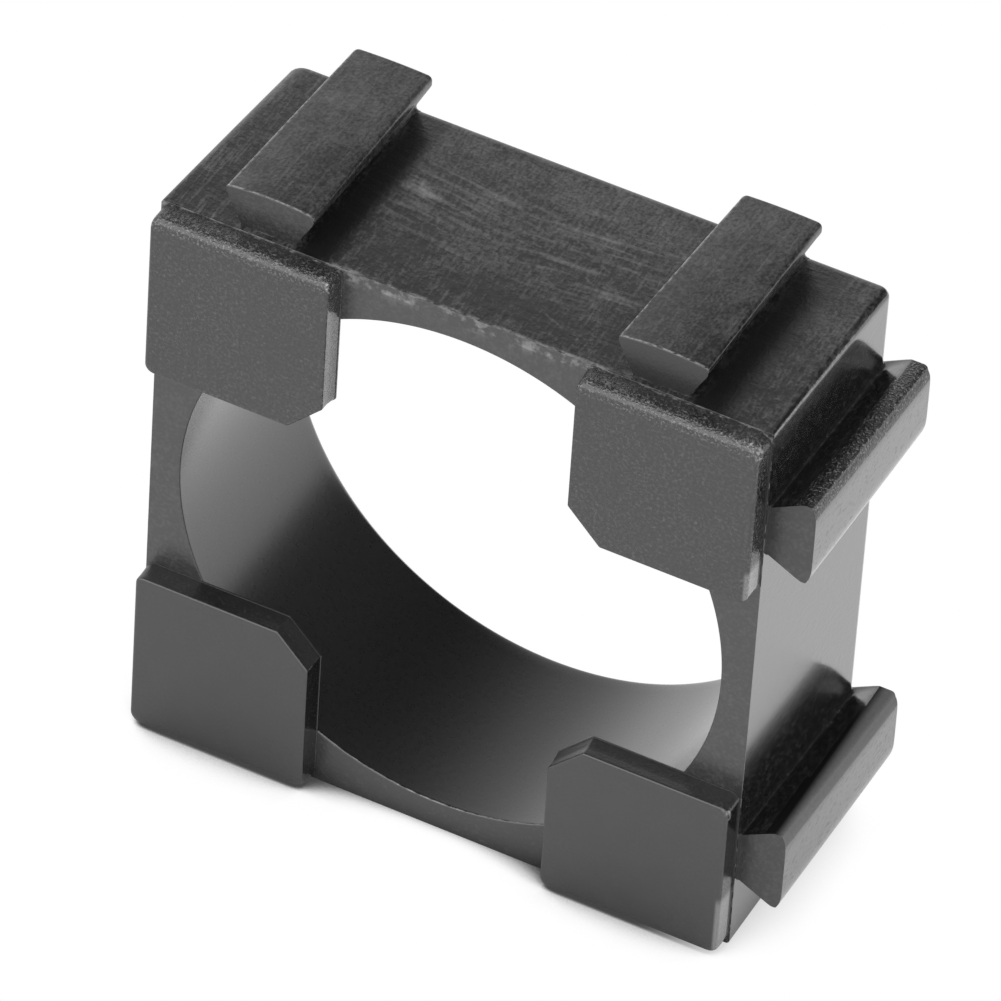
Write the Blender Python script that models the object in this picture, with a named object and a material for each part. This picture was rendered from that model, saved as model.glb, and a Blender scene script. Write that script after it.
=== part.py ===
# Battery cell holder bracket: one moulded piece that holds a round cell and locks to its neighbours.
# Metres, +Z up. The origin is the centre of the face it stands on, and the cell's axis lies along Y.

import math

import bmesh
import bpy

MM = 0.001

# Body: a square block standing on its bottom face, with the cell's bore through it along Y
BORE_RADIUS = 9.20 * MM          # at the front, where the cell meets the tabs
WALL = 1.00 * MM                 # wall between the bore and each flat side, at the front
BODY_DEPTH = 7.95 * MM
BODY_DRAFT = 0.10 * MM           # how far the top and the two sides lean in by the back
BORE_DRAFT = 0.22 * MM           # how much wider the bore's radius is by the back
BORE_LEAD_IN = 0.25 * MM         # rounding of the bore's back rim, where the cell goes in
BACK_ROUND = 0.30 * MM           # rounding round the back face, on the body and the rails
LONG_EDGE_FRONT = 0.12 * MM      # rounding of the four long edges at the front
LONG_EDGE_BACK = 0.55 * MM       # the same edges where they reach the back face
FRONT_BREAK = 0.03 * MM          # rounding of edges that are nearly sharp

# Tabs: four corner plates on the front that stop the cell and leave a cross-shaped channel
CHANNEL = 8.24 * MM              # width of the channel, for a connecting strip 8 mm wide
TAB_THICK = 0.80 * MM
TAB_SEAT = 0.02 * MM             # how far the back of a tab lies behind the body's front face
TAB_CHAMFER = 1.12 * MM          # corner cut off towards the bore's axis
TAB_INSET = 0.04 * MM            # step between the body's sides and the tab's outer sides
TAB_EDGE_ROUND = 0.30 * MM       # front edges on the outside
TAB_OUTER_CORNER = 0.35 * MM
TAB_END_CORNER = 0.30 * MM       # corners where an outer side meets the channel
TAB_INNER_CORNER = 0.10 * MM

# Rails: two dovetails on the top face and two on the right face
RAIL_NEAR = 3.84 * MM            # from the top right corner to the middle of the rail beside it
RAIL_FAR = 3.49 * MM             # from the other end of the same face to the middle of its other rail
RAIL_ROOT_WIDTH = 1.84 * MM
RAIL_TIP_WIDTH = 2.96 * MM
RAIL_HEIGHT = 1.32 * MM
RAIL_CROWN = 0.18 * MM           # extra rise of the outer face along its middle
RAIL_LAND = 0.08 * MM            # upright edge between the slanted flank and the outer face
RAIL_TIP_ROUND = 0.05 * MM
RAIL_ROOT_FILLET = 0.16 * MM
RAIL_TAPER = 0.17 * MM           # how much each side of the rail draws in by the back
RAIL_SETBACK = 0.20 * MM         # the rail starts this far behind the body's front face
RAIL_SINK = 0.40 * MM            # how deep its root reaches into the body

# Grooves: the same dovetails cut into the bottom face and the left face, open at the back
FIT_GAP = 0.10 * MM              # clearance on every side of a neighbour's rail
GROOVE_DRAFT = 0.05 * MM         # how much each side of the groove opens out by the back

BORE_SEGMENTS = 144
ARC_SEGMENTS = 5
CUT_PAST = 2.0 * MM

HALF = BORE_RADIUS + WALL
AXIS_HEIGHT = HALF
FRONT_Y = -BODY_DEPTH / 2
BACK_Y = BODY_DEPTH / 2


for old in list(bpy.data.objects):
    bpy.data.objects.remove(old, do_unlink=True)


def rounded_outline(corners, radii):
    """The polygon with each corner replaced by an arc of its own radius."""
    points = []
    for i, (x, z) in enumerate(corners):
        before, after = corners[i - 1], corners[(i + 1) % len(corners)]
        ax, az = before[0] - x, before[1] - z
        bx, bz = after[0] - x, after[1] - z
        la, lb = math.hypot(ax, az), math.hypot(bx, bz)
        ax, az, bx, bz = ax / la, az / la, bx / lb, bz / lb
        half_angle = math.acos(ax * bx + az * bz) / 2
        reach = radii[i] / math.tan(half_angle)
        middle = radii[i] / math.sin(half_angle) / math.hypot(ax + bx, az + bz)
        cx, cz = x + (ax + bx) * middle, z + (az + bz) * middle
        start = math.atan2(z + az * reach - cz, x + ax * reach - cx)
        end = math.atan2(z + bz * reach - cz, x + bx * reach - cx)
        turn = (end - start + math.pi) % (2 * math.pi) - math.pi
        for k in range(ARC_SEGMENTS + 1):
            angle = start + turn * k / ARC_SEGMENTS
            points.append((cx + radii[i] * math.cos(angle), cz + radii[i] * math.sin(angle)))
    return points


def quarter_turn():
    """Sine and cosine at each step of a quarter circle."""
    for k in range(ARC_SEGMENTS + 1):
        angle = math.pi / 2 * k / ARC_SEGMENTS
        yield math.sin(angle), math.cos(angle)


def end_steps(radius):
    """Depth below an end face and inset of the outline, from the straight part to the face itself."""
    for sine, cosine in quarter_turn():
        yield radius * (1 - sine), radius * (1 - cosine)


def solid(name, rings):
    """A closed body lofted through rings of equal length, with flat ends and normals facing out."""
    mesh = bmesh.new()
    layers = [[mesh.verts.new(point) for point in ring] for ring in rings]
    for lower, upper in zip(layers, layers[1:]):
        for i in range(len(lower)):
            j = (i + 1) % len(lower)
            mesh.faces.new((lower[i], lower[j], upper[j], upper[i]))
    mesh.faces.new(layers[0])
    mesh.faces.new(layers[-1])
    bmesh.ops.recalc_face_normals(mesh, faces=mesh.faces)
    data = bpy.data.meshes.new(name)
    mesh.to_mesh(data)
    mesh.free()
    made = bpy.data.objects.new(name, data)
    bpy.context.scene.collection.objects.link(made)
    return made


def combine(target, other, operation):
    """Joins a helper shape to the target, or cuts it away, and keeps the helper out of the render."""
    other.hide_render = True
    other.display_type = 'WIRE'
    step = target.modifiers.new(other.name, 'BOOLEAN')
    step.operation = operation
    step.solver = 'EXACT'
    step.object = other


# Body
def lean(y):
    return BODY_DRAFT * (y - FRONT_Y) / BODY_DEPTH


def body_ring(y, inset, corner):
    side = HALF - lean(y) - inset
    bottom, top = inset, AXIS_HEIGHT + side
    square = [(-side, bottom), (side, bottom), (side, top), (-side, top)]
    return [(x, y, z) for x, z in rounded_outline(square, [corner] * 4)]


body_rings = [
    body_ring(FRONT_Y, FRONT_BREAK, LONG_EDGE_FRONT),
    body_ring(FRONT_Y + FRONT_BREAK, 0, LONG_EDGE_FRONT),
]
for depth, inset in end_steps(BACK_ROUND):
    body_rings.append(body_ring(BACK_Y - depth, inset, LONG_EDGE_BACK))
holder = solid('cell_holder', body_rings)


# Bore, with its back rim rounded
def circle(radius, y):
    angles = [2 * math.pi * k / BORE_SEGMENTS for k in range(BORE_SEGMENTS)]
    return [(radius * math.cos(a), y, AXIS_HEIGHT + radius * math.sin(a)) for a in angles]


bore_back = BORE_RADIUS + BORE_DRAFT
bore_rings = [circle(BORE_RADIUS, FRONT_Y - CUT_PAST), circle(BORE_RADIUS, FRONT_Y)]
for depth, flare in end_steps(BORE_LEAD_IN):
    bore_rings.append(circle(bore_back + flare, BACK_Y - depth))
bore_rings.append(circle(bore_back + BORE_LEAD_IN, BACK_Y + CUT_PAST))
combine(holder, solid('bore_cutter', bore_rings), 'DIFFERENCE')


# Tabs: u runs inwards from a side face and v inwards from the top or the bottom face
def tab_ring(side, level, y, outer_inset, inner_inset):
    outer = TAB_INSET + outer_inset
    inner = HALF - CHANNEL / 2 - inner_inset
    cut = inner - TAB_CHAMFER
    corners = [(outer, outer), (inner, outer), (inner, cut), (cut, inner), (outer, inner)]
    radii = [TAB_OUTER_CORNER, TAB_END_CORNER, TAB_INNER_CORNER, TAB_INNER_CORNER, TAB_END_CORNER]
    outline = rounded_outline(corners, radii)
    return [(side * (HALF - u), y, AXIS_HEIGHT + level * (HALF - v)) for u, v in outline]


TAB_PLACES = {'top_left': (-1, 1), 'top_right': (1, 1), 'bottom_left': (-1, -1), 'bottom_right': (1, -1)}
for place, (side, level) in TAB_PLACES.items():
    tab_rings = [tab_ring(side, level, FRONT_Y + TAB_SEAT, 0, 0)]
    for depth, inset in end_steps(TAB_EDGE_ROUND):
        inner_inset = max(0, FRONT_BREAK - depth)
        tab_rings.append(tab_ring(side, level, FRONT_Y - TAB_THICK + depth, inset, inner_inset))
    combine(holder, solid('tab_' + place, tab_rings), 'UNION')


# Dovetail outline across a face: u runs along the face and h out of it
def dovetail(widen, foot_level, top_level, foot_round, reach_down):
    """A rail's outline, each side widened by one value, between its foot and its outer face."""
    root = RAIL_ROOT_WIDTH / 2 + widen
    tip = RAIL_TIP_WIDTH / 2 + widen
    land = top_level - RAIL_LAND
    slope = (tip - root) / (land - foot_level)
    half = [(root + foot_round, foot_level - reach_down)]
    for sine, cosine in quarter_turn():
        rise = foot_round * (1 - cosine)
        half.append((root + foot_round * (1 - sine) + slope * rise, foot_level + rise))
    half.append((tip, land))
    for sine, cosine in quarter_turn():
        h = top_level - RAIL_TIP_ROUND * (1 - sine)
        half.append((tip - RAIL_TIP_ROUND * (1 - cosine), h))
    for k in range(1, ARC_SEGMENTS + 1):
        share = 1 - k / ARC_SEGMENTS
        half.append(((tip - RAIL_TIP_ROUND) * share, top_level + RAIL_CROWN * (1 - share ** 3)))
    return half + [(-u, h) for u, h in reversed(half[:-1])]


def rail(name, place):
    """A rail from its front end to the back face; place turns (u, y, h) into a point."""
    rings = []
    stations = [(FRONT_Y + RAIL_SETBACK, 0)]
    stations += [(BACK_Y - depth, inset) for depth, inset in end_steps(BACK_ROUND)]
    for y, inset in stations:
        narrow = RAIL_TAPER * (y - FRONT_Y) / BODY_DEPTH + inset
        foot, top = -lean(y) - inset, RAIL_HEIGHT - inset
        outline = dovetail(-narrow, foot, top, RAIL_ROOT_FILLET, RAIL_SINK)
        rings.append([place(u, y, h) for u, h in outline])
    return solid(name, rings)


def groove(name, place):
    """The rail's front outline grown by the clearance, from just behind the front out past the back."""
    rings = []
    for y in (FRONT_Y + RAIL_SETBACK - FIT_GAP, BACK_Y + CUT_PAST):
        gap = FIT_GAP + GROOVE_DRAFT * (y - FRONT_Y) / BODY_DEPTH
        lip = max(RAIL_ROOT_FILLET - FIT_GAP, FRONT_BREAK)
        outline = dovetail(gap, 0, RAIL_HEIGHT + gap, lip, CUT_PAST)
        rings.append([place(u, y, h) for u, h in outline])
    return solid(name, rings)


# Each pair of rails, and each pair of grooves, has the same two places along its face
for end, offset in (('far', RAIL_FAR - HALF), ('near', HALF - RAIL_NEAR)):
    top_rail = rail('top_rail_' + end, lambda u, y, h: (offset + u, y, AXIS_HEIGHT + HALF + h))
    side_rail = rail('right_rail_' + end, lambda u, y, h: (HALF + h, y, AXIS_HEIGHT + offset + u))
    low_groove = groove('bottom_groove_' + end, lambda u, y, h: (offset + u, y, h))
    side_groove = groove('left_groove_' + end, lambda u, y, h: (h - HALF, y, AXIS_HEIGHT + offset + u))
    combine(holder, top_rail, 'UNION')
    combine(holder, side_rail, 'UNION')
    combine(holder, low_groove, 'DIFFERENCE')
    combine(holder, side_groove, 'DIFFERENCE')


# Black moulded plastic
plastic = bpy.data.materials.new('black moulded plastic')
plastic.use_nodes = True
shader = plastic.node_tree.nodes['Principled BSDF']
shader.inputs['Base Color'].default_value = (0.022, 0.022, 0.023, 1)
shader.inputs['Roughness'].default_value = 0.55
plastic.diffuse_color = (0.05, 0.05, 0.05, 1)


# Finish: the joined shape becomes one mesh, with its curved faces shaded smooth
graph = bpy.context.evaluated_depsgraph_get()
joined = bpy.data.meshes.new_from_object(holder.evaluated_get(graph))
holder.modifiers.clear()
holder.data = joined
for helper in [item for item in bpy.data.objects if item.hide_render]:
    bpy.data.objects.remove(helper, do_unlink=True)
joined.name = 'cell_holder'
joined.shade_smooth()
joined.set_sharp_from_angle(angle=math.radians(30))
joined.materials.clear()
joined.materials.append(plastic)
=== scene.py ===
import math

import bmesh
import bpy
import numpy as np
from mathutils import Matrix, Vector


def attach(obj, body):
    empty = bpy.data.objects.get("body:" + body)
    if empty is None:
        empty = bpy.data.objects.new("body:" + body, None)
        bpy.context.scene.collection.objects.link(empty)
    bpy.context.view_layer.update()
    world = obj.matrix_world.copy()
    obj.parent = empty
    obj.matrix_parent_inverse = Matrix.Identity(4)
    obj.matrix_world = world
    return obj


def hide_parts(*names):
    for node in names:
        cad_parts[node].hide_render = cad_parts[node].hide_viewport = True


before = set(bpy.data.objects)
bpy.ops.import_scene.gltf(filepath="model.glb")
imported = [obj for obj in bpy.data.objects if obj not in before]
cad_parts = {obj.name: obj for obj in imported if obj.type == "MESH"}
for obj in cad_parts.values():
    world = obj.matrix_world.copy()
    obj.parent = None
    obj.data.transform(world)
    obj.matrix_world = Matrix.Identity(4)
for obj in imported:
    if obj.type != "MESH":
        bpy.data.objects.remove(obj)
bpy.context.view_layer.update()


# Camera: a long lens a third of a metre from the holder, above its front and to its right.
# The picture is nearly free of perspective, and it leans by four degrees.
AZIMUTH, ELEVATION, ROLL = (math.radians(a) for a in (25.398, 41.19, 3.933))
LOOK_AT = Vector((0.00062, -0.00197, 0.01196))
DISTANCE = 0.34406
LENS, SENSOR = 413.73, 36.0
CLIP_NEAR, CLIP_FAR = 0.01, 10

back = Vector((
    math.sin(AZIMUTH) * math.cos(ELEVATION),
    -math.cos(AZIMUTH) * math.cos(ELEVATION),
    math.sin(ELEVATION),
))
level = Vector((math.cos(AZIMUTH), math.sin(AZIMUTH), 0))
right = math.cos(ROLL) * level + math.sin(ROLL) * back.cross(level)
lens = bpy.data.cameras.new("product_camera")
lens.lens, lens.sensor_width, lens.sensor_fit = LENS, SENSOR, "HORIZONTAL"
lens.clip_start, lens.clip_end = CLIP_NEAR, CLIP_FAR
camera = bpy.data.objects.new("product_camera", lens)
camera.matrix_world = Matrix.Translation(LOOK_AT + back * DISTANCE) @ Matrix(
    (right, back.cross(right), back)
).transposed().to_4x4()
bpy.context.scene.collection.objects.link(camera)
bpy.context.scene.camera = camera
bpy.context.scene.view_settings.view_transform = "Standard"


# Studio: a white table, a low white wall on the left, and a soft glow from the front.
# The black plastic shows little colour of its own and mostly mirrors the table and the wall.
# Directions run from -1 to 1, and the reaches and places of the shadows are in metres.
WALL_GLOW, WALL_LEFTWARD, WALL_TOP = 0.97, (-0.10, 0.35), (0.51, 0.73)
FRONT_GLOW, FRONT_AXIS, FRONT_SPREAD = 1.8, (0.35, -0.94), (-0.15, 0.45)
DIMMEST = 0.08
TABLE_WHITE, TABLE_MIRRORED, TABLE_SIZE, TABLE_SHIFT = 0.85, 0.85, 6, 1.0
TOUCH = {"reach": 0.0032, "samples": 16, "openness": (0.34, 0.66),
         "right_end": (0.0072, 0.0112), "lift": 0.80, "dark": 0.94}
SHADE = {"reach": 0.012, "samples": 8, "openness": (0.30, 0.95),
         "right_end": (0.0095, 0.0110), "lift": 0.70, "dark": 0.96}


class Socket:
    """A shader socket that takes part in sums, and the way to add any node behind it."""

    def __init__(self, tree, link):
        self.tree, self.link = tree, link

    def node(self, kind, values=(), out=0, **settings):
        return add_node(self.tree, kind, values, out, **settings)

    def math(self, operation, *others):
        return self.node("ShaderNodeMath", (self, *others), operation=operation)

    def __add__(self, other):
        return self.math("ADD", other)

    def __sub__(self, other):
        return self.math("SUBTRACT", other)

    def __rsub__(self, other):
        return self.node("ShaderNodeMath", (other, self), operation="SUBTRACT")

    def __mul__(self, other):
        return self.math("MULTIPLY", other)

    __radd__, __rmul__ = __add__, __mul__

    def above(self, low, high):
        """0 below the first value, 1 above the second, and smooth between them."""
        return self.node(
            "ShaderNodeMapRange", {"Value": self, "From Min": low, "From Max": high},
            interpolation_type="SMOOTHSTEP",
        )

    def noise(self, per_mm, detail=2.0, stretch=(1, 1, 1), turn=0.0, shift=0.0):
        """Noise about 0.5, turned by degrees; a small stretch makes long marks along that axis."""
        turned_to = self.node(
            "ShaderNodeVectorRotate", {"Vector": self, "Angle": math.radians(-turn)},
            rotation_type="Z_AXIS",
        )
        laid = self.node("ShaderNodeMapping", {
            "Vector": turned_to, "Location": (shift, shift, shift),
            "Scale": tuple(per_mm * value for value in stretch),
        })
        return laid.node("ShaderNodeTexNoise", {
            "Vector": laid, "Scale": 1.0, "Detail": detail, "Roughness": 0.6,
        })

    def axes(self):
        split = self.node("ShaderNodeSeparateXYZ", (self,)).link.node
        return [Socket(self.tree, output) for output in split.outputs]


def add_node(tree, kind, values=(), out=0, **settings):
    """Adds a node with its settings, then its sockets' values or links, and gives one output."""
    node = tree.nodes.new(kind)
    for key, value in settings.items():
        setattr(node, key, value)
    pairs = values.items() if isinstance(values, dict) else enumerate(values)
    for key, value in pairs:
        if isinstance(value, Socket):
            tree.links.new(value.link, node.inputs[key])
        else:
            node.inputs[key].default_value = value
    return Socket(tree, node.outputs[out] if node.outputs else None)


world = bpy.data.worlds.new("white_tent")
world.use_nodes = True
bpy.context.scene.world = world
tree = world.node_tree
tree.nodes.clear()
rightward, backward, upward = add_node(tree, "ShaderNodeTexCoord", out="Generated").axes()
wall = (rightward * -1).above(*WALL_LEFTWARD) * (1 - upward.above(*WALL_TOP)) * WALL_GLOW
frontward = rightward * FRONT_AXIS[0] + backward * FRONT_AXIS[1]
front = frontward.above(*FRONT_SPREAD) * FRONT_GLOW
seen = add_node(tree, "ShaderNodeLightPath", out="Is Camera Ray")
glow = (wall + front + DIMMEST) * (1 - seen) + seen
tent = add_node(tree, "ShaderNodeBackground", {"Color": (1, 1, 1, 1), "Strength": glow})
add_node(tree, "ShaderNodeOutputWorld", (tent,))

table = bpy.data.materials.new("white_table")
table.use_nodes = True
tree = table.node_tree
tree.nodes.clear()
across = add_node(tree, "ShaderNodeTexCoord", out="Object").axes()[0]
seen, mirrored, through = (
    add_node(tree, "ShaderNodeLightPath", out="Is " + kind + " Ray")
    for kind in ("Camera", "Glossy", "Transmission")
)


def shadow(reach, samples, openness, right_end, lift, dark):
    """How dark the table is beside the holder; past the holder's right end it lightens."""
    free = add_node(
        tree, "ShaderNodeAmbientOcclusion", {"Distance": reach}, out="AO", samples=samples,
    )
    return (1 - free.above(*openness)) * (1 - across.above(*right_end) * lift) * dark


lit = (1 - shadow(**TOUCH)) * seen + (1 - shadow(**SHADE)) * (1 - seen)
matt = add_node(tree, "ShaderNodeBsdfDiffuse", {"Color": (TABLE_WHITE, TABLE_WHITE, TABLE_WHITE, 1)})
glow = add_node(tree, "ShaderNodeEmission", {"Color": lit, "Strength": 1.0})
share = seen + (mirrored + through).math("MINIMUM", 1.0) * TABLE_MIRRORED
mixed = add_node(tree, "ShaderNodeMixShader", (share, matt, glow))
add_node(tree, "ShaderNodeOutputMaterial", (mixed,))
bpy.ops.mesh.primitive_plane_add(size=TABLE_SIZE)
floor = bpy.context.object
floor.name = "white_table"
floor.data.transform(Matrix.Translation((TABLE_SHIFT, 0, 0)))
floor.data.materials.append(table)


# Body: a square block of black plastic with the round cell bore, moulded in one shot with its
# tabs and rails. Its outer faces lean in towards the back, so that it slides out of the mould.
# All sizes are in mm, with x from the bore's axis, y from the middle and z from the table.
MM = 0.001
BLACK = 0.007
SIDE, DEPTH, FRONT_Y = 20.399, 7.95, -3.975
AXIS_Z = SIDE / 2
LEAN_LEFT, LEAN_RIGHT, LEAN_TOP, TOP_BEND = 0.117, 0.059, 0.102, 1.8
CORNERS_FRONT, FRONT_BREAK = (0.12, 0.12, 0.10, 0.12), 0.02
CORNERS_BACK, BACK_ROUND = (0.55, 0.45, 0.30, 0.55), 0.33
BORE_FRONT, BORE_BACK, BORE_EDGE, LEAD_IN = 9.184, 9.45, 0.04, 0.25
PER_SIDE, PER_CORNER, PER_DEPTH = 120, 8, 30
BESIDE_BREAK, FIRST_RING, BESIDE_ROUND, BESIDE_BORE_END = 0.008, 0.12, 0.05, 0.1
FACE_SHARES = (0.04, 0.25, 0.5, 0.75, 0.96, 0.996)


def corner_square(left, right, bottom, top, radii):
    """A rounded square's outline, anticlockwise from the bottom left as the front shows it."""
    corners = [(left, bottom, 1, 1), (right, bottom, -1, 1), (right, top, -1, -1), (left, top, 1, -1)]
    arcs = []
    for k, (x, z, inward_x, inward_z) in enumerate(corners):
        cx, cz = x + inward_x * radii[k], z + inward_z * radii[k]
        sweep = np.radians(np.linspace(180 + 90 * k, 270 + 90 * k, PER_CORNER))
        arcs.append(np.column_stack([cx + radii[k] * np.cos(sweep), cz + radii[k] * np.sin(sweep)]))
    points = []
    for k, arc in enumerate(arcs):
        points += list(arc)
        begin, end = arc[-1], arcs[(k + 1) % 4][0]
        points += [begin + (end - begin) * t for t in np.linspace(0, 1, PER_SIDE + 2)[1:-1]]
    return np.array(points)


def quarter(radius, steps):
    """Pairs (depth below the end face, inset) round an edge, from its straight part on."""
    turns = np.linspace(0, math.pi / 2, steps)
    return [(radius * (1 - math.sin(a)), radius * (1 - math.cos(a))) for a in turns]


def body_outline(y, inset):
    share = min(max(y / DEPTH, 0), 1)
    half = SIDE / 2
    left, right = -half + LEAN_LEFT * share + inset, half - LEAN_RIGHT * share - inset
    bottom, top = -half + inset, half - LEAN_TOP * share ** TOP_BEND - inset
    radii = [front + (back - front) * share for front, back in zip(CORNERS_FRONT, CORNERS_BACK)]
    return corner_square(left, right, bottom, top, radii)


def lofted(name, rings, closed):
    """A mesh of quads through rings of equal length; closed joins the last ring to the first."""
    rings = np.array(rings)
    count, around = rings.shape[:2]
    index = np.arange(count * around).reshape(count, around)
    low = index if closed else index[:-1]
    high = np.roll(index, -1, axis=0) if closed else index[1:]
    quads = (low, np.roll(low, -1, axis=1), np.roll(high, -1, axis=1), high)
    faces = np.stack(quads, axis=-1).reshape(-1, 4).tolist()
    if not closed:
        faces += [index[0][::-1].tolist(), index[-1].tolist()]
    mesh = bpy.data.meshes.new(name)
    mesh.from_pydata((rings.reshape(-1, 3) * MM).tolist(), [], faces)
    made = bpy.data.objects.new(name, mesh)
    bpy.context.scene.collection.objects.link(made)
    shell = bmesh.new()
    shell.from_mesh(mesh)
    bmesh.ops.recalc_face_normals(shell, faces=shell.faces)
    shell.to_mesh(mesh)
    shell.free()
    return made


def ring_at(outline, y):
    depths = np.full(len(outline), y + FRONT_Y)
    return np.column_stack([outline[:, 0], depths, outline[:, 1] + AXIS_Z])


front_outline = body_outline(0, 0)
angles = np.arctan2(front_outline[:, 1], front_outline[:, 0])


def bore_outline(radius):
    return np.column_stack([radius * np.cos(angles), radius * np.sin(angles)])


rings = []
for depth, inset in quarter(FRONT_BREAK, 3)[::-1]:
    rings.append(ring_at(body_outline(depth, inset), depth))
straight = np.linspace(FIRST_RING, DEPTH - BACK_ROUND - BESIDE_ROUND, PER_DEPTH)
for y in (FRONT_BREAK + BESIDE_BREAK, *straight):
    rings.append(ring_at(body_outline(y, 0), y))
for depth, inset in quarter(BACK_ROUND, 8):
    rings.append(ring_at(body_outline(DEPTH - depth, inset), DEPTH - depth))
for depth, inset in quarter(LEAD_IN, 7)[::-1]:
    rings.append(ring_at(bore_outline(BORE_BACK + inset), DEPTH - depth))
for y in np.linspace(DEPTH - LEAD_IN - BESIDE_BORE_END, BESIDE_BORE_END, PER_DEPTH):
    rings.append(ring_at(bore_outline(BORE_FRONT + (BORE_BACK - BORE_FRONT) * y / DEPTH), y))
for depth, inset in quarter(BORE_EDGE, 4):
    rings.append(ring_at(bore_outline(BORE_FRONT + inset), depth))
inner, outer = bore_outline(BORE_FRONT + BORE_EDGE), body_outline(0, FRONT_BREAK)
for share in FACE_SHARES:
    rings.append(ring_at(inner + (outer - inner) * share, 0))
body = lofted("holder_body", rings, True)


def plastic(name, roughness, marks, gloss=None, coat=None):
    """A finish of the one black plastic, whose skin differs with the steel that shaped it; some finishes
    also carry painted light or shade.

    marks(place in mm) gives its relief in mm, its paleness, its haze and, where it has a coat
    that is dulled, the coat's weight. gloss is (IOR, level), and coat is (roughness, IOR).
    """
    made = bpy.data.materials.new(name)
    made.use_nodes = True
    tree = made.node_tree
    shader = tree.nodes["Principled BSDF"]
    place = add_node(tree, "ShaderNodeTexCoord", out="Object")
    in_mm = place.node("ShaderNodeMapping", {"Vector": place, "Scale": (1 / MM, 1 / MM, 1 / MM)})
    relief, pale, haze, *weight = marks(in_mm)
    bump = relief.node("ShaderNodeBump", {"Strength": 1.0, "Distance": MM, "Height": relief})
    tree.links.new((pale + BLACK).link, shader.inputs["Base Color"])
    tree.links.new((haze + roughness).link, shader.inputs["Roughness"])
    tree.links.new(bump.link, shader.inputs["Normal"])
    if gloss:
        shader.inputs["IOR"].default_value = gloss[0]
        shader.inputs["Specular IOR Level"].default_value = gloss[1]
    if coat:
        shader.inputs["Coat Weight"].default_value = 1.0
        shader.inputs["Coat Roughness"].default_value = coat[0]
        shader.inputs["Coat IOR"].default_value = coat[1]
        if weight:
            tree.links.new(weight[0].link, shader.inputs["Coat Weight"])
    return made


def inside(value, low, high, soft):
    """1 between two values of a coordinate, fading over a soft width."""
    return value.above(low - soft, low + soft) * (1 - value.above(high - soft, high + soft))


def streaks(place, stretch, turn, shift, low, high, detail=4.0):
    """Thin marks along one way of the top face, dense where their noise rises from low to high."""
    along, athwart = stretch
    return place.noise(1.0, detail, (along, athwart, 3.0), turn=turn, shift=shift).above(low, high)


# Where the body's faces are worn, in mm: between the rails and along the edges.
# Beside the rails, along the front's foot, low in the bore and low on the side rails they carry painted
# shade instead.
BETWEEN_RAILS, RUBBED_BAND, CROSSED = (-4.4, 4.9), (-1.7, 2.2), (1.0, 5.2)
SCRAPE_X, SCRAPE_Y = (-4.3, -3.2), (0.3, 0.9)
SHADE_BESIDE_FAR_RAIL, SHADE_BESIDE_NEAR_RAIL, LEFT_STRIP = (-5.6, -4.6), (7.5, 8.8), (-8.4, -8.1)
SMOOTH_X, SMOOTH_Y = (-8.2, 1.0), (-3.2, -1.6)
CALM_X, CALM_Y = (-0.5, 3.0), (-2.2, -0.8)
FRONT_EDGE, CHANNEL = (-3.93, -3.80), (-4.6, 4.8)
EDGE_BAND, UNDER_EDGE, AT_EDGE = (20.05, 20.42), (19.75, 20.05), (20.05, 20.40)
ABOVE_BODY, NEAR_RAIL_END, FOOT_SHADE = (20.42, 20.50), (3.0, 4.5), (1.0, 3.0)
SIDE_RIM, SCUFFED, PROUD = (20.15, 20.25), (18.2, 19.4), (10.6, 10.9)
BORE_SHADE_X, BORE_SHADE_Z = (-5.0, 3.0), (1.5, 3.5)


def top_marks(place):
    x, y, _ = place.axes()
    grain = place.noise(9.0, 1.5) + place.noise(1.0, 2.0, (9.0, 2.5, 3.0), turn=8.0) - 1.0
    worn = place.noise(0.55, 4.0, shift=4.0).above(0.38, 0.66)
    falling = streaks(place, (0.36, 3.6), -8.0, 0.0, 0.45, 0.70) * (1 - x.above(-2.5, 2.0))
    rising = streaks(place, (0.40, 3.8), 5.0, 5.0, 0.47, 0.72) * x.above(-2.0, 1.5)
    strokes = falling + rising
    crossing = streaks(place, (0.5, 5.0), -22.0, 2.0, 0.56, 0.76) * inside(x, *CROSSED, 1.5)
    rubs = strokes * inside(x, *BETWEEN_RAILS, 0.6) * inside(y, *RUBBED_BAND, 1.0) + crossing * 0.7
    hatch = streaks(place, (7.0, 0.5), 2.0, 7.0, 0.46, 0.76, detail=3.0)
    hatch = hatch * (1 - inside(x, *SMOOTH_X, 0.8) * y.above(*SMOOTH_Y))
    patchy = place.noise(2.0, 3.0).above(0.35, 0.60)
    scrape = inside(x, *SCRAPE_X, 0.35) * inside(y, *SCRAPE_Y, 0.22) * patchy
    left = 1 - x.above(*LEFT_STRIP)
    # Painted shade: in strips beside the rails the top keeps no paleness.
    rail_shade = inside(x, *SHADE_BESIDE_FAR_RAIL, 0.25) + inside(x, *SHADE_BESIDE_NEAR_RAIL, 0.35)
    calm = inside(x, *CALM_X, 0.8) * (1 - y.above(*CALM_Y)) * 0.25
    ragged = place.noise(3.0, 3.0).above(0.34, 0.62)
    fringe = (1 - y.above(*FRONT_EDGE)) * ragged * inside(x, *CHANNEL, 0.4)
    relief = grain * (worn * 0.004 + 0.003) + (strokes + hatch) * 0.002 + place.noise(1.6, 3.0) * 0.014
    pale = worn * (0.029 - left * 0.024) + rubs * 0.085 + scrape * 0.10 + y * 0.003
    pale = pale + hatch * (left * 0.035 + 0.035) + grain * 0.13
    pale = pale * (1 - rail_shade - calm) + fringe * 0.17
    return relief, pale.math("MAXIMUM", 0.0), strokes * 0.08


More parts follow.
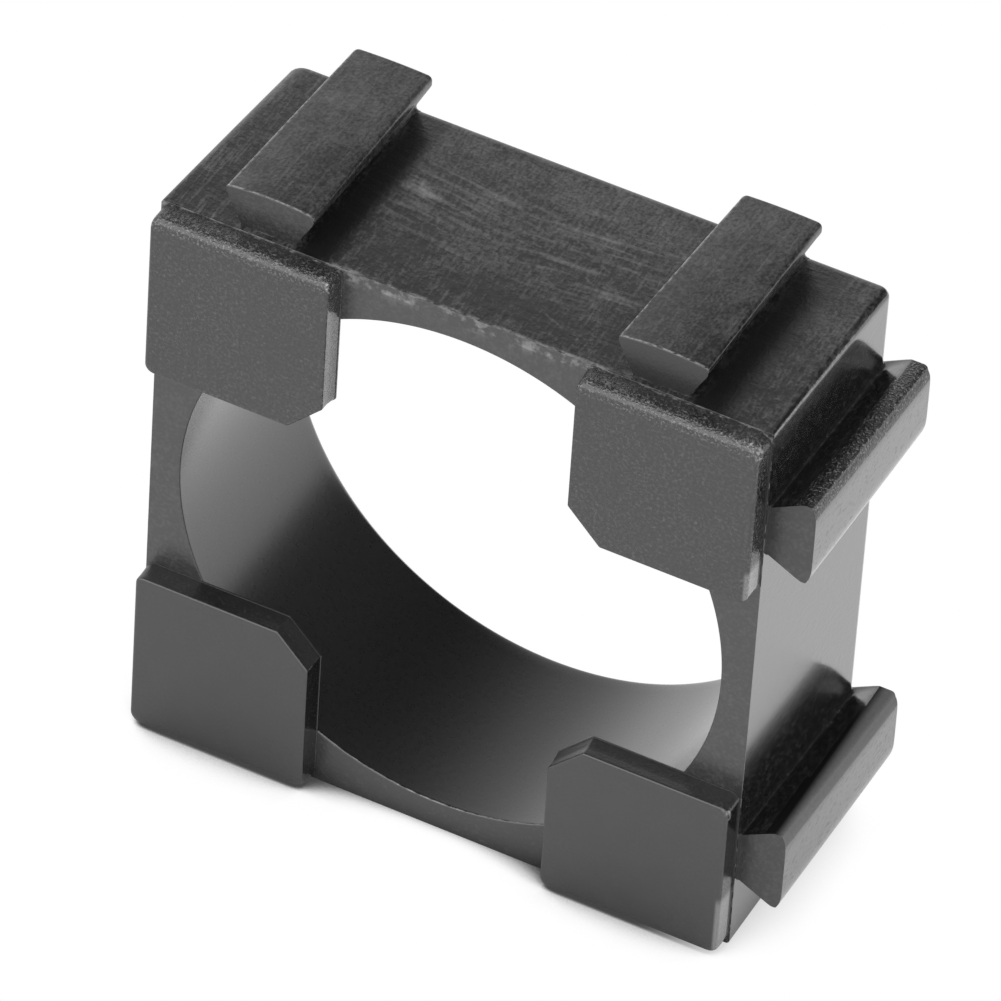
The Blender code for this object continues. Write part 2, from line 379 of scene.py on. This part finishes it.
def front_marks(place):
    x, _, z = place.axes()
    grain = place.noise(8.0, 1.5) - 0.5
    near_edge = inside(z, *EDGE_BAND, 0.03) + z.above(*UNDER_EDGE) * (1 - z.above(*AT_EDGE)) * 0.5
    rubbed = place.noise(2.2, 3.0, shift=6.0).above(0.44, 0.62) * (near_edge * 0.09 + 0.006)
    # Painted shade: darker along the foot, near the table; also darker on the right top rail's front end.
    darker = (1 - z.above(*FOOT_SHADE)) * 0.008 + z.above(*ABOVE_BODY) * x.above(*NEAR_RAIL_END) * 0.012
    pale = grain * 0.06 + place.noise(1.3, 2.0) * 0.012 + rubbed - darker - 0.004
    return grain * 0.006, pale.math("MAXIMUM", 0.0), grain * 0.05


def side_marks(place):
    x, _, z = place.axes()
    grain = place.noise(8.0, 2.0, (1, 0.6, 1)) - 0.5
    scuffs = place.noise(1.0, 3.0, (3.0, 2.2, 0.5), shift=3.0).above(0.58, 0.74) * z.above(*SCUFFED)
    rim = z.above(*SIDE_RIM) * place.noise(6.0, 2.0).above(0.42, 0.62)
    proud = x.above(*PROUD)
    # On the side rails the coat thins towards the table, which dims the lower rail's reflection: painted
    # shade.
    dull = grain.above(0.02, 0.22) * (proud * 0.40 + 0.06) + proud * (0.30 - z * 0.0147) + scuffs * 0.25
    pale = grain.above(-0.05, 0.25) * 0.035 + scuffs * 0.02 + rim * 0.10 + 0.004
    return grain * 0.008, pale, grain * 0.1, 1 - dull


def core_marks(place):
    x, _, z = place.axes()
    grain = place.noise(6.0, 1.0) - 0.5
    # Painted shade: low in the bore the coat thins, which dims its reflection.
    low = inside(x, *BORE_SHADE_X, 2.0) * (1 - z.above(*BORE_SHADE_Z))
    return grain * 0.002, grain * 0.01 + 0.007, grain * 0.04, 1 - low * 0.85


def edge_marks(place):
    specks = place.noise(3.0, 3.0).above(0.50, 0.60)
    return specks * 0.004, specks * 0.10, specks * 0.1


top_skin = plastic("rubbed_top_skin", 0.30, top_marks, gloss=(1.6, 0.64))
front_skin = plastic("even_front_skin", 0.36, front_marks, gloss=(1.6, 0.90))
side_skin = plastic("smooth_side_skin", 0.22, side_marks, coat=(0.12, 1.58))
core_skin = plastic("smooth_core_skin", 0.28, core_marks, coat=(0.22, 1.55))
# The front right edge beside the tabs is dulled to stand in for the seam's shade: painted shade. Its pale
# specks are burrs.
seam_shade_skin = plastic("dark_edge_skin", 0.50, edge_marks, gloss=(1.45, 0.30))


# Grooves: two blind dovetails each in the bottom and the left face, for a neighbour's rails.
# The core that shaped them drew out at the back, so they open there. They finish the body.
GROOVE_PLACES = (-6.71, 6.36)
GROOVE_ROOT, GROOVE_TIP, GROOVE_DEEP = 1.00, 1.58, 1.60
FLOOR_IN, FLOOR_UP = 0.2, 0.25
GROOVE_FRONT, CUTTER_OVER = 0.1, 1.0
BODY_SHARP, CORE_OVER, BEHIND_FACE, CHANNEL_HALF, FACING = 35, 0.2, 0.05, 4.2, 0.7


def turned(points, quarter_turns):
    """Points (u, y, h) on the top face, turned about the bore's axis, clockwise from the front."""
    u, y, h = np.array(points).T
    h = h + SIDE / 2
    for _ in range(quarter_turns):
        u, h = h, -u
    return np.column_stack([u, y + FRONT_Y, h + AXIS_Z])


def groove_cutter(name, offset, quarter_turns):
    half = [
        (GROOVE_ROOT, CUTTER_OVER), (GROOVE_ROOT, 0),
        (GROOVE_TIP, FLOOR_UP - GROOVE_DEEP), (GROOVE_TIP - FLOOR_IN, -GROOVE_DEEP),
    ]
    outline = [(-u, h) for u, h in half] + half[::-1]
    rings = [
        turned([(u + offset, y, h) for u, h in outline], quarter_turns)
        for y in (GROOVE_FRONT, DEPTH + CUTTER_OVER)
    ]
    return lofted(name, rings, False)


for quarter_turns, sign in ((2, -1), (3, 1)):
    for offset in GROOVE_PLACES:
        cutter = groove_cutter("groove_cutter", offset * sign, quarter_turns)
        step = body.modifiers.new("groove", "BOOLEAN")
        step.operation, step.solver, step.object = "DIFFERENCE", "EXACT", cutter


def settled(piece):
    """Turns a piece with its modifiers into a plain mesh, and drops the helpers it used."""
    helpers = [m.object for m in piece.modifiers if getattr(m, "object", None)]
    graph = bpy.context.evaluated_depsgraph_get()
    mesh = bpy.data.meshes.new_from_object(piece.evaluated_get(graph))
    piece.modifiers.clear()
    piece.data = mesh
    for helper in helpers:
        bpy.data.objects.remove(helper, do_unlink=True)
    return piece


def dress(piece, skins, choose, sharp):
    """Gives every face the skin that choose(middle in mm, normal) names by its number."""
    piece.data.materials.clear()
    for skin in skins:
        piece.data.materials.append(skin)
    for face in piece.data.polygons:
        face.material_index = choose(face.center / MM, face.normal)
    piece.data.shade_smooth()
    piece.data.set_sharp_from_angle(angle=math.radians(sharp))
    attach(piece, "root")


def body_skin(middle, normal):
    """0 the sides, 1 the bore, 2 the top, 3 the front, 4 the front right edge beside the tabs, dulled as
    painted shade.
    """
    from_axis = math.hypot(middle.x, middle.z - AXIS_Z)
    if from_axis < BORE_BACK + CORE_OVER and middle.y > FRONT_Y + BEHIND_FACE:
        return 1
    on_edge = middle.y < FRONT_Y + FRONT_BREAK + BESIDE_BREAK and middle.x > SIDE / 2 - FRONT_BREAK
    if on_edge and abs(middle.z - AXIS_Z) > CHANNEL_HALF:
        return 4
    return 2 if normal.z > FACING else 3 if normal.y < -FACING else 0


settled(body)
dress(body, (side_skin, core_skin, top_skin, front_skin, seam_shade_skin), body_skin, BODY_SHARP)
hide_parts("cell_holder")


# Tabs: four plates across the front corners, moulded with the body, that stop the cell.
# Their outer edges are well rounded, and the edges round the channel are nearly sharp.
# A thin step runs round the foot of their inner sides.
TAB_SIDE, TAB_THICK, TAB_CUT, TAB_INSET = 6.081, 0.794, 1.123, 0.060
TOP_ROUND, SIDE_ROUND, INNER_ROUND = 0.30, 0.11, 0.06
FOOT_PROUD, FOOT_THICK, FOOT_STEP, FOOT_SUNK, TAB_DRAFT = 0.068, 0.03, 0.005, 0.01, 0.045
TAB_RADII, TAB_SPANS, PER_ARC = (0.35, 0.28, 0.10, 0.10, 0.28), (46, 38, 12, 38, 46), 6
BEFORE_ROUND, WITHIN_FACE, PIECE_SHARP, FACING_RIGHT = 0.03, 0.06, 40, 0.8


def rounded_outline(corners, radii, spans):
    """A polygon with rounded corners, each side cut into its number of even spans."""
    arcs = []
    count = len(corners)
    for i, corner in enumerate(corners):
        p, a, b = (np.array(v, float) for v in (corner, corners[i - 1], corners[(i + 1) % count]))
        a, b = (a - p) / np.linalg.norm(a - p), (b - p) / np.linalg.norm(b - p)
        half = math.acos(max(-1, min(1, float(a @ b)))) / 2
        centre = p + (a + b) / np.linalg.norm(a + b) * radii[i] / math.sin(half)
        start, end = (p + v * radii[i] / math.tan(half) - centre for v in (a, b))
        first, last = math.atan2(start[1], start[0]), math.atan2(end[1], end[0])
        turn = (last - first + math.pi) % (2 * math.pi) - math.pi
        arcs.append([
            centre + radii[i] * np.array((math.cos(first + turn * t), math.sin(first + turn * t)))
            for t in np.linspace(0, 1, PER_ARC)
        ])
    points = []
    for i, arc in enumerate(arcs):
        points += arc
        begin, stop = arc[-1], arcs[(i + 1) % count][0]
        points += [begin + (stop - begin) * k / spans[i] for k in range(1, spans[i])]
    return np.array(points)


def tab_ring(y, side_inset, top_inset, inner_inset):
    """One outline of the top right tab, measured from the bore's axis."""
    side, top = (SIDE / 2 - TAB_INSET - inset for inset in (side_inset, top_inset))
    inner = SIDE / 2 - TAB_SIDE + inner_inset
    corners = [(side, top), (inner, top), (inner, inner + TAB_CUT), (inner + TAB_CUT, inner), (side, inner)]
    outline = rounded_outline(corners, TAB_RADII, TAB_SPANS)
    return np.column_stack([outline[:, 0], np.full(len(outline), y + FRONT_Y), outline[:, 1]])


def rolled(radius, depth):
    """How far an edge rounded with this radius has drawn in, at a depth below the front."""
    return radius - math.sqrt(max(0.0, radius ** 2 - max(0.0, radius - depth) ** 2))


rings = [tab_ring(y, 0, 0, -FOOT_PROUD) for y in (FOOT_SUNK, -FOOT_THICK)]
for share in (0.0, 0.1, 0.4, 0.7, 1.0):
    y = -FOOT_THICK - FOOT_STEP - (TAB_THICK - TOP_ROUND - FOOT_THICK - BEFORE_ROUND) * share
    rings.append(tab_ring(y, 0, 0, -TAB_DRAFT * (1 - share)))
for depth, _ in quarter(TOP_ROUND, 12):
    drawn_in = (rolled(radius, depth) for radius in (SIDE_ROUND, TOP_ROUND, INNER_ROUND))
    rings.append(tab_ring(-TAB_THICK + depth, *drawn_in))
drawn_in = (radius + WITHIN_FACE for radius in (SIDE_ROUND, TOP_ROUND, INNER_ROUND))
rings.append(tab_ring(-TAB_THICK, *drawn_in))
tab = lofted("corner_tabs", rings, False)


def shape_tree(name, numbers):
    """An empty Geometry Nodes tree with a mesh in, a mesh out and the named sizes."""
    tree = bpy.data.node_groups.new(name, "GeometryNodeTree")
    tree.interface.new_socket("Geometry", in_out="INPUT", socket_type="NodeSocketGeometry")
    for label, kind in numbers.items():
        tree.interface.new_socket(label, in_out="INPUT", socket_type=kind)
    tree.interface.new_socket("Geometry", in_out="OUTPUT", socket_type="NodeSocketGeometry")
    given = tree.nodes.new("NodeGroupInput")
    return tree, {socket.name: Socket(tree, socket) for socket in given.outputs if socket.name}


def run_tree(piece, tree, **values):
    """Sets the tree's sizes on a modifier, and keeps the mesh it makes."""
    step = piece.modifiers.new(tree.name, "NODES")
    step.node_group = tree
    for item in tree.interface.items_tree:
        key = item.name.replace(" ", "_").lower()
        if item.in_out == "INPUT" and key in values:
            step[item.identifier] = values[key]
    return settled(piece)


tree, given = shape_tree("one_in_each_corner", {
    "Axis Height": "NodeSocketFloat", "Turn": "NodeSocketFloat", "Finish": "NodeSocketMaterial",
})
facing = add_node(tree, "GeometryNodeTransform", {"Geometry": given["Geometry"], "Scale": (-1, 1, 1)})
flipped = add_node(tree, "GeometryNodeFlipFaces", {"Mesh": facing})
both = tree.nodes.new("GeometryNodeJoinGeometry")
for half in (flipped, given["Geometry"]):
    tree.links.new(half.link, both.inputs[0])
centre = add_node(tree, "ShaderNodeCombineXYZ", {"Z": given["Axis Height"]})
spots = add_node(tree, "GeometryNodeMeshLine", {"Count": 2, "Start Location": centre, "Offset": (0, 0, 0)})
number = add_node(tree, "GeometryNodeInputIndex")
spin = add_node(tree, "ShaderNodeCombineXYZ", {"Y": number * given["Turn"]})
copies = add_node(tree, "GeometryNodeInstanceOnPoints", {
    "Points": spots, "Instance": Socket(tree, both.outputs[0]), "Rotation": spin,
})
real = add_node(tree, "GeometryNodeRealizeInstances", {"Geometry": copies})
coated = add_node(tree, "GeometryNodeSetMaterial", {"Geometry": real, "Material": given["Finish"]})
add_node(tree, "NodeGroupOutput", {"Geometry": coated})


# Where the tabs are stippled, specked and burred, and where their right sides carry a painted light band
# and painted shade, in mm; y is -4.77 at their fronts.
TAB_EDGES, NEAR_FOOT, FOOT_LINE = (-4.785, -4.68), (-4.45, -4.12), (-4.05, -4.01)
TOP_STRIP, FRONT_ROLL, TOP_FACE = (19.7, 20.0), (19.9, 20.18), (20.2, 20.3)
TOP_CORNER_LEFT, TOP_CORNER_RIGHT, LOW_CORNER = (-4.45, -4.0), (9.5, 9.9), (5.55, 6.3)
BURRED_TOP_Y, BURRED_LOW_Y, BURRED_LOW_X = (-4.50, -4.35), (-4.60, -4.45), (9.60, 9.95)
ROLL_Y, UPPER_HALF, LEFT_HALF = (-4.66, -4.60), (7.0, 13.0), (0.0, 1.0)
SHADED_SIDE, SHADED_TOP, SHADED_LOW = (9.9, 10.0), (15.4, 15.8), (2.3, 7.0)
LIT_SIDE, LIT_TOP, LIT_LOW = (9.95, 10.06), (14.2, 15.5), (2.1, 2.5)


def tab_marks(place):
    x, y, z = place.axes()
    grain = place.noise(9.0, 2.0) - 0.5
    fine = place.noise(13.0, 1.0, shift=8.0) - 0.5
    rougher = place.noise(0.6, 2.0, shift=1.0).above(0.35, 0.60)
    specks = place.noise(8.0, 1.0, shift=3.0).above(0.60, 0.72)
    upper = z.above(*UPPER_HALF) * 0.85 + 0.15
    edge = y.above(*TAB_EDGES)
    spotted = edge * (1 - y.above(*NEAR_FOOT) * 0.75)
    foot_line = y.above(*FOOT_LINE) * z.above(*TOP_FACE)
    dashes = foot_line * place.noise(2.5, 3.0, shift=5.0).above(0.52, 0.66)
    corners = inside(x, *TOP_CORNER_LEFT, 0.15) + x.above(*TOP_CORNER_RIGHT)
    tops = z.above(*TOP_STRIP) * corners * (1 - y.above(*BURRED_TOP_Y))
    low_top = inside(z, *LOW_CORNER, 0.1) * x.above(*BURRED_LOW_X) * (1 - y.above(*BURRED_LOW_Y))
    burrs = (tops + low_top) * edge * place.noise(6.0, 3.0, shift=2.0).above(0.50, 0.62)
    front_top = inside(z, *FRONT_ROLL, 0.05) * (1 - y.above(*ROLL_Y))
    # On the right sides: a painted light band where they mirror the table, and painted shade, a thinner
    # coat, where they mirror the rails.
    painted_light_band = x.above(*LIT_SIDE) * (inside(z, *LIT_TOP, 0.15) + (1 - z.above(*LIT_LOW)))
    shaded = x.above(*SHADED_SIDE) * (z.above(*SHADED_TOP) + inside(z, *SHADED_LOW, 0.2))
    relief = (grain * 0.010 + fine * edge * 0.042) * upper
    pale = grain * (0.05 + rougher * 0.08) + specks * (0.02 + spotted * 0.05) + dashes * 0.20
    pale = pale + fine.above(0.02, 0.20) * (spotted * 0.09 + front_top * 0.09)
    pale = pale * upper + place.noise(1.3, 2.0, shift=5.0) * 0.006 + burrs * 0.22 + painted_light_band * 0.11
    left_half = 1 - x.above(*LEFT_HALF)
    dull = shaded * (fine.above(0.0, 0.20) * 0.4 + 0.6) + fine.above(-0.05, 0.20) * left_half * 0.4
    return relief, pale.math("MAXIMUM", 0.0), grain * 0.08, 1 - dull


def tab_face_skin(middle, normal):
    """0 the tabs' fronts and tops, 1 the sides that face right."""
    return int(normal.x > FACING_RIGHT)


tab_skin = plastic("stippled_tab_skin", 0.36, tab_marks, gloss=(1.6, 0.76))
tab_side_skin = plastic("stippled_side_skin", 0.26, tab_marks, coat=(0.14, 1.6))
tabs = run_tree(tab, tree, axis_height=AXIS_Z * MM, turn=math.pi, finish=tab_skin)
dress(tabs, (tab_skin, tab_side_skin), tab_face_skin, PIECE_SHARP)


# Rails: dovetails moulded on the top and the right face, two on each, that slide into a neighbour.
# Their outer faces are slightly crowned, and they narrow a little towards the back.
# A pair of values belongs to the front end and the back end of a rail.
ROOT_HALF, TIP_HALF = 0.89, 1.47
FOOT_ROUND, FOOT_BELOW, RAIL_TAPER, RAIL_LEAN, RAIL_SAG = (0.10, 0.28), 0.35, 0.17, 0.08, 0.03
RAIL_FRONT, RAIL_BREAK, RAIL_BACK_ROUND = 0.198, 0.02, 0.10
SHOULDER_BREAK, BESIDE_FOOT, BESIDE_FRONT, BESIDE_CORNER = (0.01, 0.04), 0.02, 0.08, 0.05
FLANK_PARTS, CROWN_PARTS = (0.4, 0.55, 0.7, 0.85), (0.92, 0.84, 0.74, 0.62, 0.48, 0.32, 0.16)
PER_LENGTH, LENGTH_FROM, PER_BACK, NEARLY_QUARTER = 36, 0.5, 17, 1.5
TOP_RAIL = {"level": 1.29, "crowns": (0.10, 0.03), "fullness": 2.0, "back_corners": (0.07, 0.22),
            "left": (0.04, 0.06), "right": (0.08, 0.16),
            "left_land": (0.14, 0.16), "right_land": (0.16, 0.20)}
SIDE_RAIL = {"level": 1.36, "crowns": (0.13, 0.11), "fullness": 7.0, "back_corners": (0.22, 0.07),
             "left": (0.06, 0.14), "right": (0.06, 0.06),
             "left_land": (0.20, 0.42), "right_land": (0.14, 0.16)}


def between(ends, share):
    return ends[0] + (ends[1] - ends[0]) * share


def rail_ring(y, inset, level, crowns, fullness, left, right, left_land, right_land, back_corners):
    """One outline of a rail, u across and h out of the face, from its right foot over the top."""
    share = y / DEPTH
    crown = between(crowns, share)
    beyond = max(0.0, y - DEPTH + BACK_ROUND)
    fall = BACK_ROUND - math.sqrt(max(0.0, BACK_ROUND ** 2 - beyond ** 2))
    foot, top = -RAIL_LEAN * share - fall, level - RAIL_SAG * share ** 2 - inset
    foot_round = between(FOOT_ROUND, share ** 2)
    sides = []
    halves = ((right, right_land, back_corners[0]), (left, left_land, back_corners[1]))
    for rounds, lands, turned_in in halves:
        past = max(0.0, y - DEPTH + turned_in) / turned_in
        corner = turned_in * (1 - math.sqrt(max(0.0, 1 - past * past)))
        root = ROOT_HALF - RAIL_TAPER * share - corner
        tip = TIP_HALF - RAIL_TAPER * share - corner
        radius = between(rounds, share)
        land = top - radius - between(lands, share)
        slope = (tip - root) / (land - foot)
        side = [(root + foot_round, foot - FOOT_BELOW), (root + foot_round, foot - BESIDE_FOOT)]
        for a in np.linspace(0, math.pi / 2, 6):
            rise = foot_round * (1 - math.cos(a))
            side.append((root + foot_round * (1 - math.sin(a)) + slope * rise, foot + rise))
        for part in FLANK_PARTS:
            side.append((root + slope * part * (land - foot), foot + part * (land - foot)))
        side += [(tip - SHOULDER_BREAK[0], land), (tip, land + SHOULDER_BREAK[1])]
        for a in np.linspace(0, math.pi / 2, 7):
            side.append((tip - radius * (1 - math.cos(a)), top - radius * (1 - math.sin(a))))
        for part in CROWN_PARTS:
            side.append(((tip - radius) * part, top + crown * (1 - part ** fullness)))
        sides.append(side)
    outline = sides[0] + [(0, top + crown)] + [(-u, h) for u, h in reversed(sides[1])]
    return [(u, y + FRONT_Y, h) for u, h in outline]


def rail_mesh(name, profile):
    widest = max(profile["back_corners"])
    straight = np.linspace(LENGTH_FROM, DEPTH - widest - BESIDE_CORNER, PER_LENGTH)
    rings = [rail_ring(RAIL_FRONT, RAIL_BREAK, **profile)]
    for y in (RAIL_FRONT + RAIL_BREAK, RAIL_FRONT + BESIDE_FRONT, *straight):
        rings.append(rail_ring(y, 0, **profile))
    for along in np.linspace(0, NEARLY_QUARTER, PER_BACK):
        y = DEPTH - widest * (1 - math.sin(along))
        past = max(0.0, y - DEPTH + RAIL_BACK_ROUND) / RAIL_BACK_ROUND
        rings.append(rail_ring(y, RAIL_BACK_ROUND * (1 - math.sqrt(1 - past * past)), **profile))
    return lofted(name, rings, False)


tree, given = shape_tree("two_along_a_face", {
    "Face Distance": "NodeSocketFloat", "Axis Height": "NodeSocketFloat", "Turn": "NodeSocketFloat",
    "First": "NodeSocketFloat", "Step": "NodeSocketFloat", "Finish": "NodeSocketMaterial",
})
start = add_node(tree, "ShaderNodeCombineXYZ", {"X": given["First"], "Z": given["Face Distance"]})
step = add_node(tree, "ShaderNodeCombineXYZ", {"X": given["Step"]})
spots = add_node(tree, "GeometryNodeMeshLine", {"Count": 2, "Start Location": start, "Offset": step})
pair = add_node(tree, "GeometryNodeInstanceOnPoints", {"Points": spots, "Instance": given["Geometry"]})
real = add_node(tree, "GeometryNodeRealizeInstances", {"Geometry": pair})
placed = add_node(tree, "GeometryNodeTransform", {
    "Geometry": real, "Translation": add_node(tree, "ShaderNodeCombineXYZ", {"Z": given["Axis Height"]}),
    "Rotation": add_node(tree, "ShaderNodeCombineXYZ", {"Y": given["Turn"]}),
})
coated = add_node(tree, "GeometryNodeSetMaterial", {"Geometry": placed, "Material": given["Finish"]})
add_node(tree, "NodeGroupOutput", {"Geometry": coated})


# Where the rails are worn, in mm: their left top edges and their front edges; the upper shoulders are
# stippled, and the lower ones carry a painted light gradient.
TOP_PLACES, SIDE_PLACES = (-6.684, 6.392), (-6.332, 6.741)
LEFT_EDGE, EDGE_SLANT, EDGE_WEAR = 8.30, 0.0214, (0.17, 0.26)
RAIL_END, RAIL_TOP = (-3.75, -3.66), (21.5, 21.6)
SHOULDER_X, SHOULDER_SLANT, SHOULDER_FADE = 11.30, 0.0415, (-0.03, 0.30)
SHOULDER_UP, SHOULDER_FACING, END_FACING, SHARP_FROM = 0.75, 0.10, 0.6, (8.0, 14.0)


def rail_marks(place):
    x, y, z = place.axes()
    apart = TOP_PLACES[1] - TOP_PLACES[0]
    from_edge = (x + LEFT_EDGE - (y - FRONT_Y) * EDGE_SLANT).math("MODULO", apart)
    grain = place.noise(9.0, 1.5, (1.2, 0.8, 1)) - 0.5
    worn = place.noise(0.9, 3.0, shift=2.0).above(0.36, 0.66)
    hatch = streaks(place, (8.0, 0.4), 1.0, 0.0, 0.48, 0.80, detail=3.0)
    ragged = place.noise(5.0, 3.0, shift=9.0).above(0.36, 0.60)
    end = 1 - y.above(*RAIL_END)
    edges = ragged * ((1 - from_edge.above(*EDGE_WEAR)) * 0.20 + end * 0.30) * z.above(*RAIL_TOP)
    relief = grain * (worn * 0.004 + 0.004) + hatch * 0.002 + place.noise(1.8, 3.0, shift=6.0) * 0.010
    pale = worn * 0.026 + hatch * 0.04 + grain * 0.12 + y * 0.003 + 0.010 + edges
    return relief, pale.math("MAXIMUM", 0.0), hatch * 0.05


def shoulder_marks(place):
    sharp = place.axes()[2].above(*SHARP_FROM)
    grain = place.noise(9.0, 2.0) - 0.5
    fine = place.noise(13.0, 1.0, shift=8.0) - 0.5
    pale = (grain * 0.20 + fine.above(0.04, 0.20) * 0.18).math("MAXIMUM", 0.0) * sharp
    return (grain * 0.016 + fine * 0.040) * sharp, pale, grain * 0.08


def low_shoulder_marks(place):
    x, y, _ = place.axes()
    grain = place.noise(9.0, 2.0) - 0.5
    # Painted light: the lower shoulder grows paler towards the rail's lit face, under a dull gloss.
    out = (x - SHOULDER_X + (y - FRONT_Y) * SHOULDER_SLANT).above(*SHOULDER_FADE)
    return grain * 0.003, out * 0.13 + grain * out * 0.06, grain * 0.08


rail_skin = plastic("streaked_rail_skin", 0.30, rail_marks, gloss=(1.6, 0.66))
end_skin = plastic("rail_end_skin", 0.36, front_marks, gloss=(1.6, 0.74))
shoulder_skin = plastic("stippled_shoulder_skin", 0.34, shoulder_marks, gloss=(1.6, 0.85))
low_shoulder_skin = plastic("smooth_shoulder_skin", 0.50, low_shoulder_marks, gloss=(1.45, 0.18))


def top_rail_skin(middle, normal):
    """0 the rail, 1 its front end."""
    return int(normal.y < -END_FACING)


def side_rail_skin(middle, normal):
    """0 the rail, 1 its front end, 2 and 3 the shoulders of the upper and the lower one."""
    if normal.y < -END_FACING:
        return 1
    proud = middle.x - SIDE / 2 > SHOULDER_UP
    return (2 if middle.z > AXIS_Z else 3) if proud and normal.z > SHOULDER_FACING else 0


for name, profile, quarter_turns, (first, second), skin, choose in (
    ("top_rails", TOP_RAIL, 0, TOP_PLACES, rail_skin, top_rail_skin),
    ("side_rails", SIDE_RAIL, 1, SIDE_PLACES, side_skin, side_rail_skin),
):
    rails = run_tree(
        rail_mesh(name, profile), tree, face_distance=SIDE / 2 * MM, axis_height=AXIS_Z * MM,
        turn=math.radians(90) * quarter_turns, first=first * MM, step=(second - first) * MM, finish=skin,
    )
    dress(rails, (skin, end_skin, shoulder_skin, low_shoulder_skin), choose, PIECE_SHARP)
